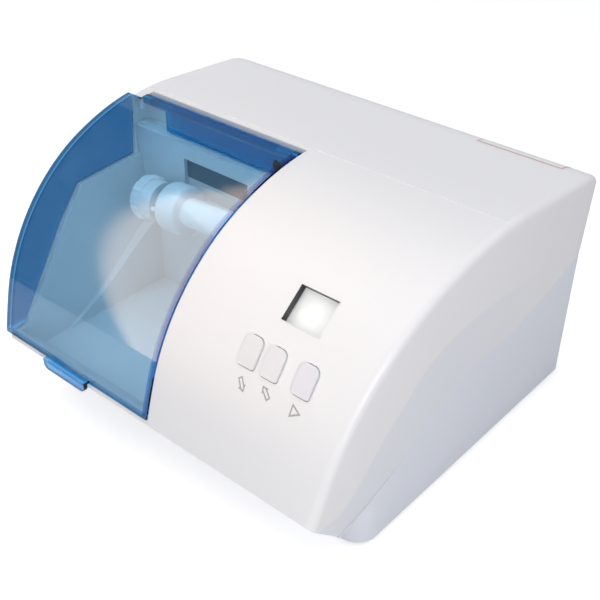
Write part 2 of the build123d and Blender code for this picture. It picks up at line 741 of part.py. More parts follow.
with BuildPart() as display_module:
    with BuildSketch(window_plane.offset(-liner_depth - lens_thickness)):
        Rectangle(window_width + 2, window_height + 2)
    extrude(amount=-board_depth)
    with BuildPart(mode=Mode.PRIVATE) as above_board:
        with BuildSketch(board_plane):
            Rectangle(far, far)
        extrude(amount=board_depth)
    add(above_board.part, mode=Mode.INTERSECT)
export(display_module.part, "display_module")

with BuildPart() as control_board:
    with BuildSketch(board_plane.offset(-board_thickness)):
        Rectangle(board_width, board_length)
        with Locations(*board_screw_places):
            Circle(small_screw_radius + 0.1, mode=Mode.SUBTRACT)
    extrude(amount=board_thickness)
export(control_board.part, "control_board")

with BuildPart() as board_screws:
    with BuildSketch(board_plane.offset(-board_thickness)):
        with Locations(*board_screw_places):
            Circle(small_screw_radius)
    extrude(amount=board_thickness + small_screw_reach - 1)
    with BuildSketch(board_plane.offset(-board_thickness)):
        with Locations(*board_screw_places):
            Circle(2 * small_screw_radius)
    extrude(amount=-1.6)
export(board_screws.part, "board_screws")

switch_height = 4.0
plunger_height = 1.5
stem_gap = 0.1
flange_shell_low = 4.6
key_flange = 1.5
flange_form = casing_form(wall + key_gap)
flange_inner = casing_form(flange_shell_low)
proud_form = casing_form(-key_proud)
for name, key_x in key_positions.items():
    with BuildPart() as button:
        # cap, following the panel's curve
        add(key_prism(key_x, 0.0, -7.0, 8.0))
        add(proud_form, mode=Mode.INTERSECT)
        # flange that keeps it behind the wall
        with BuildPart(mode=Mode.PRIVATE) as flange:
            add(key_prism(key_x, key_flange, -9.0, 6.0))
            add(flange_form, mode=Mode.INTERSECT)
            add(flange_inner, mode=Mode.SUBTRACT)
        add(flange.part)
        # stem on to the switch
        stem_length = board_depth - switch_height - plunger_height - stem_gap - key_travel - 6.0
        add(rod(2.0, stem_length, Plane(origin=sloping_plane(key_x, key_y, key_z, panel_angle, 6.0).origin,
                                        z_dir=-board_normal)))
    export(button.part, name)

with BuildPart() as button_switches:
    for key_x in key_positions.values():
        foot = sloping_plane(key_x, key_y, key_z, panel_angle, board_depth)
        with BuildSketch(foot):
            Rectangle(7, 7)
        extrude(amount=switch_height)
        with BuildSketch(foot.offset(switch_height)):
            Circle(1.6)
        extrude(amount=plunger_height)
export(button_switches.part, "button_switches")


# ================================================================ shaking arm
def bar_along_arm(low, high, across_y, low_z, high_z):
    """Bar between two distances from the pivot, with its height measured square to the arm."""
    with BuildPart() as bar:
        with BuildSketch(arm_plane(low)):
            with Locations((0, -(low_z + high_z) / 2)):
                Rectangle(across_y, high_z - low_z)
        extrude(amount=high - low)
    return bar.part


def guide_holes(radius, low, high):
    """Two rods beside the capsule bore, between two distances from the pivot."""
    with BuildPart() as rods:
        with BuildSketch(arm_plane(low)):
            with Locations((guide_ring, 0), (-guide_ring, 0)):
                Circle(radius)
        extrude(amount=high - low)
    return rods.part


bulb_end = bulb_start + bulb_length
with BuildPart() as swing_arm:
    add(rod(boss_radius, boss_length, shaft_plane(pivot_x, pivot_y - boss_length / 2, pivot_z)))
    add(rod(sleeve_radius, bulb_start + 1, arm_plane(0)))
    add(rod(bulb_radius, bulb_length, arm_plane(bulb_start)))
    fillet(swing_arm.edges().filter_by(GeomType.CIRCLE).filter_by(
        lambda e: abs(e.radius - bulb_radius) < 0.01), 2.5)
    # yoke around the eccentric's bearing
    add(bar_along_arm(-yoke_web[1], -2.0, yoke_depth, -4.0, 4.0))
    add(bar_along_arm(-yoke_web[1], -yoke_web[0], yoke_depth,
                      -yoke_half_gap - yoke_wall, yoke_half_gap + yoke_wall))
    for low_z in (-yoke_half_gap - yoke_wall, yoke_half_gap):
        add(bar_along_arm(-yoke_offset - 9.0, -yoke_web[0], yoke_depth, low_z, low_z + yoke_wall))
    add(rod(bush_radius, 2 * far, shaft_plane(pivot_x, pivot_y - far, pivot_z)), mode=Mode.SUBTRACT)
    # capsule seat and guide holes in the bulb
    add(rod(capsule_bore, bulb_bore_depth, arm_plane(bulb_end - bulb_bore_depth)), mode=Mode.SUBTRACT)
    add(guide_holes(guide_radius + running_clearance, bulb_end - guide_length, bulb_end + 1),
        mode=Mode.SUBTRACT)
export(swing_arm.part, "swing_arm")

jaw_start = bulb_end + jaw_gap
knob_start = jaw_start + jaw_neck_length
with BuildPart() as clamp_jaw:
    add(rod(jaw_neck_radius, jaw_neck_length, arm_plane(jaw_start)))
    add(rod(knob_radius, knob_length, arm_plane(knob_start)))
    fillet(clamp_jaw.edges().filter_by(GeomType.CIRCLE).filter_by(
        lambda e: abs(e.radius - knob_radius) < 0.01), 1.2)
    # finger flutes around the knob
    with BuildSketch(arm_plane(knob_start)):
        with PolarLocations(knob_radius + flute_radius / 2, flute_count):
            Circle(flute_radius)
    extrude(amount=knob_length, mode=Mode.SUBTRACT)
    # four pockets in the knob's face, leaving a crossed pair of ribs
    with BuildSketch(arm_plane(knob_start + knob_length)):
        Circle(knob_radius - 3.4)
        Rectangle(3.0, 2 * knob_radius, rotation=45, mode=Mode.SUBTRACT)
        Rectangle(3.0, 2 * knob_radius, rotation=-45, mode=Mode.SUBTRACT)
        Circle(3.6, mode=Mode.SUBTRACT)
    extrude(amount=-2.5, mode=Mode.SUBTRACT)
    add(rod(capsule_bore, jaw_bore_depth, arm_plane(jaw_start)), mode=Mode.SUBTRACT)
    add(guide_holes(guide_radius, bulb_end - guide_length + guide_end_gap, jaw_start + 2.0))
export(clamp_jaw.part, "clamp_jaw")

bush_front_y = pivot_y - boss_length / 2
bush_rear_y = pivot_y + boss_length / 2
with BuildPart() as arm_bushes:
    for edge_y, way in ((bush_front_y, 1), (bush_rear_y, -1)):
        start_y = edge_y if way > 0 else edge_y - bush_length
        add(rod(bush_radius, bush_length, shaft_plane(pivot_x, start_y, pivot_z)))
        flange_start = edge_y - 1.0 if way > 0 else edge_y
        add(rod(bush_flange_radius, 1.0, shaft_plane(pivot_x, flange_start, pivot_z)))
    add(rod(pivot_pin_radius + running_clearance, 2 * far, shaft_plane(pivot_x, pivot_y - far, pivot_z)),
        mode=Mode.SUBTRACT)
export(arm_bushes.part, "arm_bushes")

pin_front_y = bush_front_y - 4.0
with BuildPart() as pivot_pin:
    add(rod(pivot_pin_radius, bracket_y + bracket_sheet - pin_front_y,
            shaft_plane(pivot_x, pin_front_y, pivot_z)))
    add(rod(bush_radius, bracket_y - bush_rear_y - 1.0 - running_clearance,
            shaft_plane(pivot_x, bush_rear_y + 1.0 + running_clearance, pivot_z)))
export(pivot_pin.part, "pivot_pin")

with BuildPart() as pivot_clip:
    add(rod(bush_radius, 1.0, shaft_plane(pivot_x, bush_front_y - 2.0 - running_clearance, pivot_z)))
    add(rod(pivot_pin_radius, 3.0, shaft_plane(pivot_x, bush_front_y - 3.0, pivot_z)), mode=Mode.SUBTRACT)
export(pivot_clip.part, "pivot_clip")

with BuildPart() as arm_grommet:
    # flat ring on the tub's wall, its lip clear of the swinging arm
    add(rod(arm_hole_radius + 4.0, 1.5, arm_hole_plane))
    add(rod(arm_hole_radius - 0.6, 10.0, arm_hole_plane.offset(-5.0)), mode=Mode.SUBTRACT)
export(arm_grommet.part, "arm_grommet")


# ================================================================ motor and its bracket
motor_plane = shaft_plane(shaft_x, bracket_y + bracket_sheet, pivot_z)
with BuildPart() as motor_bracket:
    add(box_between((shaft_x - bracket_width / 2, bracket_y, bracket_foot_z),
                    (shaft_x + bracket_width / 2, bracket_y + bracket_sheet, bracket_top_z)))
    add(box_between((shaft_x - bracket_width / 2, bracket_y, bracket_foot_z),
                    (shaft_x + bracket_width / 2, bracket_y + bracket_foot_length,
                     bracket_foot_z + bracket_sheet)))
    # side flanges that stiffen the corner
    for side in (-1, 1):
        edge = shaft_x + side * (bracket_width / 2 - bracket_sheet / 2)
        add(side_block([(bracket_y, bracket_foot_z), (bracket_y + bracket_foot_length, bracket_foot_z),
                        (bracket_y + bracket_foot_length, bracket_foot_z + 8),
                        (bracket_y + 12, 70), (bracket_y, 70)],
                       edge - bracket_sheet / 2, edge + bracket_sheet / 2))
    add(rod(motor_boss_radius, 4 * bracket_sheet, shaft_plane(shaft_x, bracket_y - bracket_sheet, pivot_z)),
        mode=Mode.SUBTRACT)
    add(rod(pivot_pin_radius, 4 * bracket_sheet, shaft_plane(pivot_x, bracket_y - bracket_sheet, pivot_z)),
        mode=Mode.SUBTRACT)
    with BuildSketch(motor_plane):
        with PolarLocations(motor_screw_ring, 4, start_angle=45):
            Circle(screw_radius)
    extrude(amount=2 * bracket_sheet, both=True, mode=Mode.SUBTRACT)
    add(upright(damper_places, screw_radius, bracket_foot_z - 1, bracket_foot_z + 2 * bracket_sheet),
        mode=Mode.SUBTRACT)
export(motor_bracket.part, "motor_bracket")

with BuildPart() as motor_housing:
    add(rod(motor_radius, motor_length - motor_cap_length, motor_plane))
    add(rod(motor_boss_radius, bracket_sheet, motor_plane.offset(-bracket_sheet)))
    add(rod(motor_radius - 2.0, motor_length, motor_plane.offset(3.0)), mode=Mode.SUBTRACT)
    add(rod(shaft_radius + running_clearance, 20, motor_plane.offset(-10)), mode=Mode.SUBTRACT)
    with BuildSketch(motor_plane.offset(-1)):
        with PolarLocations(motor_screw_ring, 4, start_angle=45):
            Circle(screw_radius)
    extrude(amount=5.0, mode=Mode.SUBTRACT)
export(motor_housing.part, "motor_housing")

cap_plane = motor_plane.offset(motor_length - motor_cap_length)
with BuildPart() as motor_end_cap:
    add(rod(motor_radius, motor_cap_length, cap_plane))
    add(rod(motor_radius - 4.0, motor_cap_length - 3.0, cap_plane), mode=Mode.SUBTRACT)
    add(rod(shaft_radius + 2.5, motor_cap_length, cap_plane.offset(2.0)))
    add(rod(shaft_radius + running_clearance, motor_cap_length - 2.0, cap_plane), mode=Mode.SUBTRACT)
export(motor_end_cap.part, "motor_end_cap")

with BuildPart() as motor_magnets:
    with BuildSketch(motor_plane.offset(8.0)):
        Circle(motor_radius - 2.0)
        Circle(motor_radius - 6.5, mode=Mode.SUBTRACT)
        Rectangle(6.0, 2 * motor_radius, mode=Mode.SUBTRACT)
    extrude(amount=38.0)
export(motor_magnets.part, "motor_magnets")

eccentric_y = (pivot_y - bearing_width / 2 - 1.0, pivot_y + bearing_width / 2 + 4.0)
with BuildPart() as rotor:
    add(rod(shaft_radius, bracket_y + bracket_sheet + motor_length - 3.0 - eccentric_y[0],
            shaft_plane(shaft_x, eccentric_y[0], pivot_z)))
    add(rod(motor_radius - 8.0, 36.0, motor_plane.offset(9.0)))
    with BuildSketch(motor_plane.offset(8.0)):
        with PolarLocations(motor_radius - 7.5, 7):
            Circle(2.0)
    extrude(amount=38.0, mode=Mode.SUBTRACT)
    add(rod(9.0, 6.0, motor_plane.offset(46.0)))
export(rotor.part, "rotor")

with BuildPart() as eccentric_hub:
    crank = shaft_plane(shaft_x, eccentric_y[0], pivot_z + crank_offset)
    add(rod(bearing_inner, bearing_width + 1.0, crank))
    add(rod(bearing_inner + 1.2, 4.0, crank.offset(bearing_width + 1.0)))
    add(rod(shaft_radius, 20, shaft_plane(shaft_x, eccentric_y[0] - 5, pivot_z)), mode=Mode.SUBTRACT)
export(eccentric_hub.part, "eccentric_hub")

with BuildPart() as crank_bearing:
    add(rod(bearing_outer, bearing_width, crank.offset(1.0)))
    add(rod(bearing_inner, bearing_width, crank.offset(1.0)), mode=Mode.SUBTRACT)
export(crank_bearing.part, "crank_bearing")

with BuildPart() as motor_screws:
    with BuildSketch(motor_plane.offset(-bracket_sheet)):
        with PolarLocations(motor_screw_ring, 4, start_angle=45):
            Circle(screw_radius)
    extrude(amount=bracket_sheet + 3.0)
    with BuildSketch(motor_plane.offset(-bracket_sheet)):
        with PolarLocations(motor_screw_ring, 4, start_angle=45):
            Circle(screw_head_radius)
    extrude(amount=-screw_head_height)
export(motor_screws.part, "motor_screws")

with BuildPart() as bracket_dampers:
    add(upright(damper_places, damper_radius, floor_z, bracket_foot_z))
    add(upright(damper_places, screw_radius, floor_z, bracket_foot_z), mode=Mode.SUBTRACT)
export(bracket_dampers.part, "bracket_dampers")

with BuildPart() as bracket_screws:
    foot_top = bracket_foot_z + bracket_sheet
    add(upright(damper_places, screw_radius, base_bottom_z + 1, foot_top))
    add(upright(damper_places, screw_head_radius, foot_top, foot_top + screw_head_height))
export(bracket_screws.part, "bracket_screws")


# ================================================================ electrics
core_mid_x = (transformer_x[0] + transformer_x[1]) / 2
core_mid_y = (transformer_y[0] + transformer_y[1]) / 2
core_depth = 24.0
core_leg = 9.0
with BuildPart() as transformer_core:
    add(box_between((transformer_x[0], core_mid_y - core_depth / 2, floor_z),
                    (transformer_x[1], core_mid_y + core_depth / 2, transformer_top_z)))
    for side in (-1, 1):
        inner = core_mid_x + side * core_leg
        outer = core_mid_x + side * (core_mid_x - transformer_x[0] - core_leg)
        add(box_between((min(inner, outer), core_mid_y - core_depth, floor_z + core_leg),
                        (max(inner, outer), core_mid_y + core_depth, transformer_top_z - core_leg)),
            mode=Mode.SUBTRACT)
export(transformer_core.part, "transformer_core")

with BuildPart() as transformer_coil:
    coil_half = core_mid_x - transformer_x[0] - core_leg
    add(box_between((core_mid_x - coil_half, transformer_y[0], floor_z + core_leg),
                    (core_mid_x + coil_half, transformer_y[1], transformer_top_z - core_leg)))
    add(box_between((core_mid_x - core_leg, core_mid_y - core_depth / 2, floor_z),
                    (core_mid_x + core_leg, core_mid_y + core_depth / 2, transformer_top_z)),
        mode=Mode.SUBTRACT)
export(transformer_coil.part, "transformer_coil")

with BuildPart() as power_board:
    add(box_between((power_board_x[0], power_board_y[0], board_post_z),
                    (power_board_x[1], power_board_y[1], board_post_z + board_thickness)))
    add(upright(board_post_places, screw_radius, board_post_z, board_post_z + board_thickness),
        mode=Mode.SUBTRACT)
export(power_board.part, "power_board")

board_top_z = board_post_z + board_thickness
with BuildPart() as power_board_screws:
    add(upright(board_post_places, screw_radius, floor_z + 1, board_top_z))
    add(upright(board_post_places, screw_head_radius, board_top_z, board_top_z + screw_head_height))
export(power_board_screws.part, "power_board_screws")

with BuildPart() as power_capacitor:
    add(upright([(12.0, 192.0)], 9.0, board_top_z, board_top_z + 30.0))
export(power_capacitor.part, "power_capacitor")

with BuildPart() as power_relay:
    add(box_between((24, 190, board_top_z), (42, 206, board_top_z + 16)))
export(power_relay.part, "power_relay")

with BuildPart() as heat_sink:
    add(box_between((54, 188, board_top_z), (57, 210, board_top_z + 28)))
    for fin in range(4):
        add(box_between((54, 188 + fin * 6.6, board_top_z + 4), (66, 190 + fin * 6.6, board_top_z + 28)))
export(heat_sink.part, "heat_sink")

with BuildPart() as mains_inlet:
    add(box_between((inlet_x - 15.5, recess_y, recess_mid_z - 12),
                    (inlet_x + 15.5, recess_y + 2.0, recess_mid_z + 12)))
    add(box_between((inlet_x - 14.0, recess_y - 18, recess_mid_z - 10.5),
                    (inlet_x + 14.0, recess_y, recess_mid_z + 10.5)))
    add(box_between((inlet_x - 12.2, recess_y - 14, recess_mid_z - 8.2),
                    (inlet_x + 12.2, recess_y + 3, recess_mid_z + 8.2)), mode=Mode.SUBTRACT)
    for pin_x, pin_z in ((-7.0, -2.0), (0.0, 2.0), (7.0, -2.0)):
        add(box_between((inlet_x + pin_x - 1.0, recess_y - 14, recess_mid_z + pin_z - 2.0),
                        (inlet_x + pin_x + 1.0, recess_y - 3.2, recess_mid_z + pin_z + 2.0)))
export(mains_inlet.part, "mains_inlet")

rocker_pivot_y = recess_y - 3.0
with BuildPart() as switch_frame:
    add(box_between((rocker_x - 8, recess_y, recess_mid_z - 11.5),
                    (rocker_x + 8, recess_y + 1.5, recess_mid_z + 11.5)))
    add(box_between((rocker_x - 6.5, recess_y - 15, recess_mid_z - 9.5),
                    (rocker_x + 6.5, recess_y, recess_mid_z + 9.5)))
    add(box_between((rocker_x - 5.0, recess_y - 9, recess_mid_z - 8.6),
                    (rocker_x + 5.0, recess_y + 2, recess_mid_z + 8.6)), mode=Mode.SUBTRACT)
    add(rod(rocker_pin_radius, 12.0, across(rocker_pivot_y, recess_mid_z).offset(rocker_x - 6.0)))
export(switch_frame.part, "switch_frame")

with BuildPart() as power_rocker:
    # low in the frame at its top edge while switched off
    with BuildPart(mode=Mode.PRIVATE) as rocker_body:
        add(side_block([(rocker_pivot_y - 4.0, recess_mid_z - 3.0), (rocker_pivot_y - 4.0, recess_mid_z + 3.0),
                        (rocker_pivot_y + 3.0, recess_mid_z + 7.4), (rocker_pivot_y + 3.9, recess_mid_z),
                        (rocker_pivot_y + 5.2, recess_mid_z - 6.9)], rocker_x - 4.6, rocker_x + 4.6))
    add(rocker_body.part)
    add(rod(rocker_pin_radius + running_clearance, 12.0,
            across(rocker_pivot_y, recess_mid_z).offset(rocker_x - 6.0)), mode=Mode.SUBTRACT)
export(power_rocker.part, "power_rocker")

with BuildPart() as fuse_holder:
    add(rod(8.0, 2.0, shaft_plane(fuse_x, recess_y, recess_mid_z)))
    add(rod(6.1, 22.0, shaft_plane(fuse_x, recess_y - 22.0, recess_mid_z)))
    add(box_between((fuse_x - 4, recess_y + 1.0, recess_mid_z - 0.6),
                    (fuse_x + 4, recess_y + 3, recess_mid_z + 0.6)), mode=Mode.SUBTRACT)
export(fuse_holder.part, "fuse_holder")


# ================================================================ feet and case fasteners
with BuildPart() as feet:
    add(upright(foot_places, foot_radius, 0.0, foot_height))
    fillet(feet.edges().group_by(Axis.Z)[0], 0.8)
export(feet.part, "feet")

with BuildPart() as case_screws:
    for x, y in post_places:
        head_z = seam_height(y) - column_roof
        add(upright([(x, y)], screw_head_radius, head_z - screw_head_height, head_z))
        add(upright([(x, y)], screw_radius, head_z, head_z + column_roof + screw_reach))
export(case_screws.part, "case_screws")

with BuildPart() as tub_screws:
    head_z = tub_post_z - column_roof
    add(upright(tub_post_places, screw_head_radius, head_z - screw_head_height, head_z))
    add(upright(tub_post_places, screw_radius, head_z, head_z + column_roof + screw_reach - 1))
export(tub_screws.part, "tub_screws")
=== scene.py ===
"""Looks of a bench-top dental amalgamator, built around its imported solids. Metres, +Z up, front at -Y."""
import bpy
from math import cos, pi, radians, sin
from mathutils import Matrix, Vector


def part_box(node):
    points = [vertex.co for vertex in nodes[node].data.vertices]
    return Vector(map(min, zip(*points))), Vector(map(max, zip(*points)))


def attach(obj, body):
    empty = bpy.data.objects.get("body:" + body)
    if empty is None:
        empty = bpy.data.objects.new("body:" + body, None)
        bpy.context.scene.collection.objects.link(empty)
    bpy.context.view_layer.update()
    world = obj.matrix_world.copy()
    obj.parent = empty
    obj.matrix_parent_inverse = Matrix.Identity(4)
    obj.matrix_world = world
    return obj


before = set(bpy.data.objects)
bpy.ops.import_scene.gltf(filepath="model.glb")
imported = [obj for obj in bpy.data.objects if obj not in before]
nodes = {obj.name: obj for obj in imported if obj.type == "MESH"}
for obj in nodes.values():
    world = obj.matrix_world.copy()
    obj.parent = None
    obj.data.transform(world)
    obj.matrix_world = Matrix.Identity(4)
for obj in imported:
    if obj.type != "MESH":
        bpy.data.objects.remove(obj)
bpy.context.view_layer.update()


# ---------------------------------------------------------------- camera
# It looks down on the machine from the front right, about 0.6 m from the middle of the footprint,
# through a fairly long lens and with hardly any roll.
bpy.ops.object.select_all(action="DESELECT")
camera_turn, camera_height, camera_roll = radians(40.787), radians(34.397), radians(0.178)
camera_back = Vector((sin(camera_turn) * cos(camera_height), -cos(camera_turn) * cos(camera_height),
                      sin(camera_height)))
level_right = Vector((cos(camera_turn), sin(camera_turn), 0))
level_up = camera_back.cross(level_right)
camera_right = level_right * cos(camera_roll) + level_up * sin(camera_roll)
camera_up = level_up * cos(camera_roll) - level_right * sin(camera_roll)
bpy.ops.object.camera_add(location=(0.3035, -0.3456, 0.3738))
camera = bpy.context.object
camera.name = "camera"
camera.rotation_euler = Matrix((camera_right, camera_up, camera_back)).transposed().to_euler()
camera.data.sensor_width = 36
camera.data.lens = 60.44
camera.data.clip_start = 0.01
bpy.context.scene.camera = camera
bpy.context.scene.view_settings.view_transform = "Standard"


# ---------------------------------------------------------------- studio
# A pale floor in a white room, a large soft lamp overhead, and weaker ones at the front left, the front
# right and behind. Floor and room are seen as white, but light the machine less than white ones would.
def plain_material(name, colour, roughness=0.5, metallic=0.0):
    """Material of one colour and gloss."""
    material = bpy.data.materials.new(name)
    material.use_nodes = True
    shader = material.node_tree.nodes["Principled BSDF"]
    shader.inputs["Base Color"].default_value = (*colour, 1)
    shader.inputs["Roughness"].default_value = roughness
    shader.inputs["Metallic"].default_value = metallic
    return material


def add_node(tree, kind, given=None, **settings):
    """Shader node with its settings, each input given as a value or as the output that feeds it."""
    node = tree.nodes.new("ShaderNode" + kind)
    for name, value in settings.items():
        setattr(node, name, value)
    for name, value in (given or {}).items():
        if isinstance(value, bpy.types.NodeSocket):
            tree.links.new(value, node.inputs[name])
        else:
            node.inputs[name].default_value = value
    return node


def calculate(tree, operation, *given):
    """Output of a maths node."""
    return add_node(tree, "Math", dict(enumerate(given)), operation=operation).outputs[0]


def colour_mix(tree, mask, plain, tinted, **settings):
    """Colour that is plain where the mask is 0 and tinted where it is 1."""
    mix = add_node(tree, "Mix", {"Factor": mask, "A": plain, "B": tinted}, data_type="RGBA", **settings)
    return mix.outputs["Result"]


def sight_masks(tree):
    """Mask of what is seen straight or through the lid, and mask of that plus what is seen mirrored."""
    path = add_node(tree, "LightPath").outputs
    straight = calculate(tree, "MAXIMUM", path["Is Camera Ray"], path["Is Transmission Ray"])
    return straight, calculate(tree, "MAXIMUM", straight, path["Is Glossy Ray"])


bpy.ops.mesh.primitive_plane_add(size=6.0)
floor = bpy.context.object
floor.name = "floor"
floor_paint = plain_material("floor_paint", (0.9, 0.9, 0.9), 0.9)
floor_tree = floor_paint.node_tree
floor_shader = floor_tree.nodes["Principled BSDF"]
floor_straight, floor_seen = sight_masks(floor_tree)
floor_colour = colour_mix(floor_tree, floor_seen, (0.55, 0.55, 0.55, 1), (0.97, 0.97, 0.97, 1))
floor_tree.links.new(floor_colour, floor_shader.inputs["Base Color"])
floor_lift = calculate(floor_tree, "MULTIPLY", floor_straight, 0.4)
floor_tree.links.new(floor_lift, floor_shader.inputs["Emission Strength"])
floor_shader.inputs["Emission Color"].default_value = (1, 1, 1, 1)
floor.data.materials.append(floor_paint)

world = bpy.data.worlds.new("studio")
bpy.context.scene.world = world
world.use_nodes = True
world_tree = world.node_tree
room_light = world_tree.nodes["Background"]
room_light.inputs["Color"].default_value = (0.86, 0.91, 1.0, 1)
room_light.inputs["Strength"].default_value = 0.4
white_room = add_node(world_tree, "Background", {"Color": (1, 1, 1, 1)})
room = add_node(world_tree, "MixShader",
                {"Fac": sight_masks(world_tree)[1], 1: room_light.outputs[0], 2: white_room.outputs[0]})
world_tree.links.new(room.outputs[0], world_tree.nodes["World Output"].inputs["Surface"])


def soft_lamp(name, place, aim, size, power, colour):
    """Square lamp of a size in metres and a power in watts, turned towards its aim."""
    bpy.ops.object.light_add(type="AREA", location=place)
    lamp = bpy.context.object
    lamp.name = name
    lamp.rotation_euler = (Vector(aim) - Vector(place)).to_track_quat("-Z", "Y").to_euler()
    lamp.data.size = size
    lamp.data.energy = power
    lamp.data.color = colour


soft_lamp("lamp_over", (-0.25, -0.25, 1.25), (0, 0, 0.1), 1.1, 6.3, (1.0, 0.985, 0.975))
soft_lamp("lamp_front", (-0.45, -1.0, 0.8), (0, 0, 0.08), 0.8, 1.5, (1.0, 0.97, 0.92))
soft_lamp("lamp_right", (0.62, -0.48, 0.32), (0.1, -0.05, 0.07), 0.35, 2.5, (1.0, 0.97, 0.97))
soft_lamp("lamp_rear", (0.3, 0.5, 0.9), (0.05, 0.05, 0.14), 0.5, 0.7, (1.0, 0.96, 0.95))


def ramp(tree, value, start, end, low=0.0, high=1.0, **settings):
    """Output that goes from low to high while the value goes from start to end."""
    ranges = {"Value": value, "From Min": start, "From Max": end, "To Min": low, "To Max": high}
    return add_node(tree, "MapRange", ranges, **settings).outputs["Result"]


# A tall board to the left has a curved band of warm light on it. It is there only for the band's mirror
# image on the lid. The band is part of a ring, a little narrower at the board's rear end.
board_across = Vector((-0.553, 0.833, 0.0))
board_up = Vector((0.401, 0.266, 0.877))
bpy.ops.object.select_all(action="DESELECT")
bpy.ops.mesh.primitive_plane_add(size=2.6, location=(-0.926, -0.632, 0.657))
board = bpy.context.object
board.name = "light_board"
board.rotation_euler = Matrix((board_across, board_up, board_across.cross(board_up))).transposed().to_euler()
board_light = plain_material("board_light", (0, 0, 0))
board_tree = board_light.node_tree
board_place = add_node(board_tree, "TexCoord").outputs["Object"]
ring_centre = (2.049, -1.531, 0.0)
ring = add_node(board_tree, "VectorMath", {0: board_place, 1: ring_centre}, operation="DISTANCE")
reach = ring.outputs["Value"]
rearward = add_node(board_tree, "SeparateXYZ", {"Vector": board_place}).outputs["X"]
inner_reach = calculate(board_tree, "SUBTRACT", reach, ramp(board_tree, rearward, 0.35, 0.85, 0.0, 0.035))
inner_edge = ramp(board_tree, inner_reach, 2.622, 2.672, interpolation_type="SMOOTHSTEP")
outer_edge = ramp(board_tree, reach, 3.05, 2.9, interpolation_type="SMOOTHSTEP")
band = calculate(board_tree, "MULTIPLY", inner_edge, outer_edge)
band_glow = calculate(board_tree, "MULTIPLY", band, 6.6)
board_shader = board_tree.nodes["Principled BSDF"]
board_shader.inputs["Emission Color"].default_value = (1.0, 0.75, 0.52, 1)
board_tree.links.new(band_glow, board_shader.inputs["Emission Strength"])
board.data.materials.append(board_light)
board.visible_camera = False
board.visible_diffuse = False
board.visible_transmission = False
board.visible_shadow = False


# ---------------------------------------------------------------- casing
# Upper case and base are injection-moulded in white plastic with a fine satin texture. The case is
# screwed down on the base from below, with a narrow shadow gap along the parting line.
def build_moulded_surface():
    """Node group of a moulded surface: faint mottling, uneven gloss, and a fine eroded grain."""
    group = bpy.data.node_groups.new("moulded_surface", "ShaderNodeTree")
    for name, kind in (("Colour", "NodeSocketColor"), ("Mottle", "NodeSocketFloat"),
                       ("Roughness", "NodeSocketFloat"), ("Grain Scale", "NodeSocketFloat"),
                       ("Grain Depth", "NodeSocketFloat")):
        group.interface.new_socket(name=name, in_out="INPUT", socket_type=kind)
    for name, kind in (("Colour", "NodeSocketColor"), ("Roughness", "NodeSocketFloat"),
                       ("Normal", "NodeSocketVector")):
        group.interface.new_socket(name=name, in_out="OUTPUT", socket_type=kind)
    given, result = group.nodes.new("NodeGroupInput").outputs, group.nodes.new("NodeGroupOutput").inputs
    place = add_node(group, "TexCoord").outputs["Object"]
    broad = add_node(group, "TexNoise", {"Vector": place, "Scale": 14.0, "Detail": 3.0}).outputs["Fac"]
    fine = add_node(group, "TexNoise", {"Vector": place, "Scale": given["Grain Scale"], "Detail": 2.0})
    amount = calculate(group, "MULTIPLY", broad, given["Mottle"])
    darker = colour_mix(group, amount, given["Colour"], (0.6, 0.62, 0.66, 1), blend_type="MULTIPLY")
    bump = add_node(group, "Bump", {"Strength": given["Grain Depth"], "Distance": 0.0002,
                                    "Height": fine.outputs["Fac"]})
    group.links.new(darker, result["Colour"])
    group.links.new(calculate(group, "MULTIPLY_ADD", broad, 0.12, given["Roughness"]), result["Roughness"])
    group.links.new(bump.outputs["Normal"], result["Normal"])
    return group


moulded_surface = build_moulded_surface()


def moulded(name, colour, roughness=0.35, mottle=0.12, grain=2600.0, depth=0.12, metallic=0.0):
    """Material of a moulded or cast piece, from the shared surface group."""
    material = plain_material(name, colour, roughness, metallic)
    tree = material.node_tree
    surface = add_node(tree, "Group", node_tree=moulded_surface)
    for given, value in (("Colour", (*colour, 1)), ("Mottle", mottle), ("Roughness", roughness),
                         ("Grain Scale", grain), ("Grain Depth", depth)):
        surface.inputs[given].default_value = value
    shader = tree.nodes["Principled BSDF"]
    tree.links.new(surface.outputs["Colour"], shader.inputs["Base Color"])
    tree.links.new(surface.outputs["Roughness"], shader.inputs["Roughness"])
    tree.links.new(surface.outputs["Normal"], shader.inputs["Normal"])
    return material


def recolour(material, mask, colour):
    """Turns a moulded material to a second colour where the mask is 1."""
    tree = material.node_tree
    base_colour = tree.nodes["Principled BSDF"].inputs["Base Color"]
    tree.links.new(colour_mix(tree, mask, base_colour.links[0].from_socket, (*colour, 1)), base_colour)


def finish_with(material, *names):
    """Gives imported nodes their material."""
    for name in names:
        nodes[name].data.materials.clear()
        nodes[name].data.materials.append(material)


case_white = moulded("case_white", (0.83, 0.825, 0.83), 0.3, 0.05)
# The base is the case's white painted darker and bluer, as painted shade on its lower, inward-leaning walls.
base_painted_shade = moulded("base_painted_shade", (0.76, 0.79, 0.85), 0.34, 0.05)
